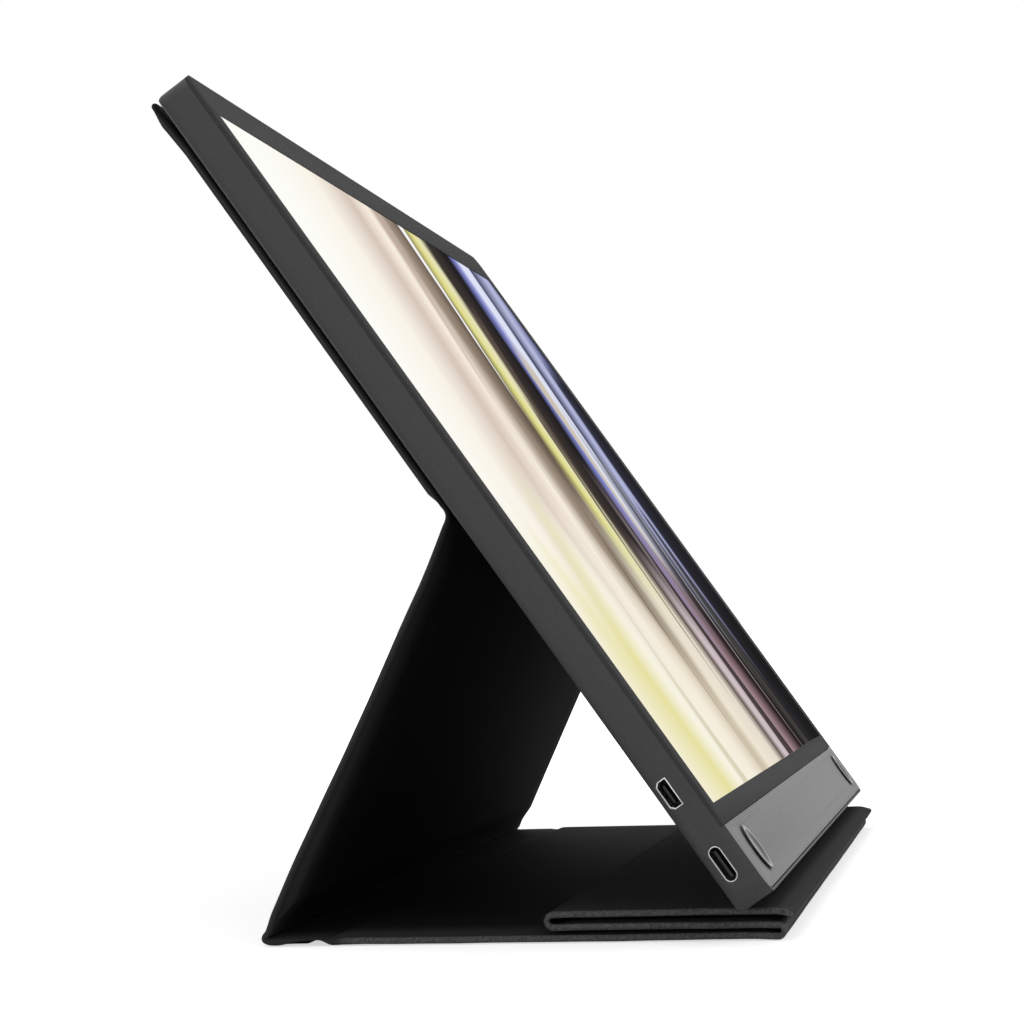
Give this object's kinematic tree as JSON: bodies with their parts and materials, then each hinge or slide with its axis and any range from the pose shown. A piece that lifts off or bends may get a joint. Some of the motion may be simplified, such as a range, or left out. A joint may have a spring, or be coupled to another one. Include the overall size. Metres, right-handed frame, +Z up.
{
  "type": "portable monitor with cover",
  "caption": "Slim portable monitor leaning on its own folding cover: stiff leatherette panels joined by soft folds form a base, a slanted leg and a back panel behind the screen.",
  "frame": {"origin": "middle of the overall footprint, on the table under the cover's base", "axes": "+X to the right of a person facing the screen, -Y the way the screen faces, +Z up"},
  "size_m": [0.3596, 0.1428, 0.1999],
  "materials": {
    "cover_leather": "fine-grained matt leatherette",
    "cover_lining": "fine matt lining",
    "stiffener": "pressed fibre board",
    "steel": "plated",
    "casing": "fine-textured",
    "bezel": "fine-textured",
    "strip": "fine-patterned metallic grey",
    "screen": "matt anti-glare, lit picture",
    "light_guide": "clear acrylic",
    "led_bar": "white",
    "tray": "plain sheet",
    "circuit_board": "solder mask",
    "chips": "moulded",
    "port_metal": "bright plated",
    "port_insert": "moulded",
    "connector": "moulded",
    "button": "satin dished"
  },
  "bodies": {
    "base": {"base_skin": "cover_leather", "base_board": "stiffener", "base_lining": "cover_lining", "crease_spine_base": "cover_leather", "crease_base_a": "cover_leather"},
    "spine": {"spine_skin": "cover_leather", "spine_board": "stiffener", "spine_lining": "cover_lining", "crease_leg_spine": "cover_leather"},
    "leg": {"leg_skin": "cover_leather", "leg_board": "stiffener", "leg_lining": "cover_lining", "crease_back_leg": "cover_leather"},
    "back_panel": {"back_skin": "cover_leather", "back_board": "stiffener", "back_lining": "cover_lining", "back_magnets": "steel"},
    "flap_a": {"flap_a_skin": "cover_leather", "flap_a_board": "stiffener", "flap_a_lining": "cover_lining", "crease_a_b": "cover_leather"},
    "flap_b": {"flap_b_skin": "cover_leather", "flap_b_board": "stiffener", "flap_b_lining": "cover_lining", "flap_magnets": "steel"},
    "monitor": {"rear_casing": "casing", "front_bezel": "bezel", "control_strip": "strip", "screen_glass": "screen", "lcd_cell": "screen", "light_guide": "light_guide", "led_bar": "led_bar", "panel_tray": "tray", "main_board": "circuit_board", "board_chips": "chips", "board_screws": "port_metal", "display_connector": "connector", "usb_c_shell": "port_metal", "usb_c_tongue": "port_insert", "hdmi_shell": "port_metal", "hdmi_tongue": "port_insert", "button_board": "circuit_board", "button_switches": "port_metal", "steel_plates": "steel"},
    "power_button": {"power_button": "button"},
    "menu_button": {"menu_button": "button"}
  },
  "joints": [
    {"name": "flap_open", "type": "hinge", "parent": "base", "child": "spine", "pos_m": [0, 0.03591, 0.0008], "axis": [-1, 0, 0], "range_deg": [0, 120], "deforming": ["crease_spine_base"]},
    {"name": "stand_fold", "type": "hinge", "parent": "spine", "child": "leg", "pos_m": [0, 0.04941, 0.0008], "axis": [-1, 0, 0], "range_deg": [0, 114.76], "deforming": ["crease_leg_spine"]},
    {"name": "back_fold", "type": "hinge", "parent": "leg", "child": "back_panel", "pos_m": [0, 0.00371, 0.09696], "axis": [1, 0, 0], "range_deg": [0, 58.91], "deforming": ["crease_back_leg"]},
    {"name": "monitor_release", "type": "slide", "parent": "back_panel", "child": "monitor", "axis": [0, -0.8276, 0.5614], "range_m": [0, 0.06]},
    {"name": "flap_a_fold", "type": "hinge", "parent": "base", "child": "flap_a", "pos_m": [0, -0.06759, 0.0024], "axis": [1, 0, 0], "range_deg": [0, 180], "deforming": ["crease_base_a"]},
    {"name": "flap_b_fold", "type": "hinge", "parent": "flap_a", "child": "flap_b", "pos_m": [0, -0.01719, 0.0049], "axis": [-1, 0, 0], "range_deg": [0, 180], "deforming": ["crease_a_b"]},
    {"name": "power_press", "type": "slide", "parent": "monitor", "child": "power_button", "axis": [0, 0.8276, -0.5614], "range_m": [0, 0.0006], "stiffness_N_per_m": 400},
    {"name": "menu_press", "type": "slide", "parent": "monitor", "child": "menu_button", "axis": [0, 0.8276, -0.5614], "range_m": [0, 0.0006], "stiffness_N_per_m": 400}
  ],
  "couplings": [
    {"joint": "back_fold", "follows": "stand_fold", "ratio": 0.51333},
    {"joint": "flap_a_fold", "follows": "flap_open", "ratio": 1.5},
    {"joint": "flap_b_fold", "follows": "flap_open", "ratio": 1.5}
  ]
}
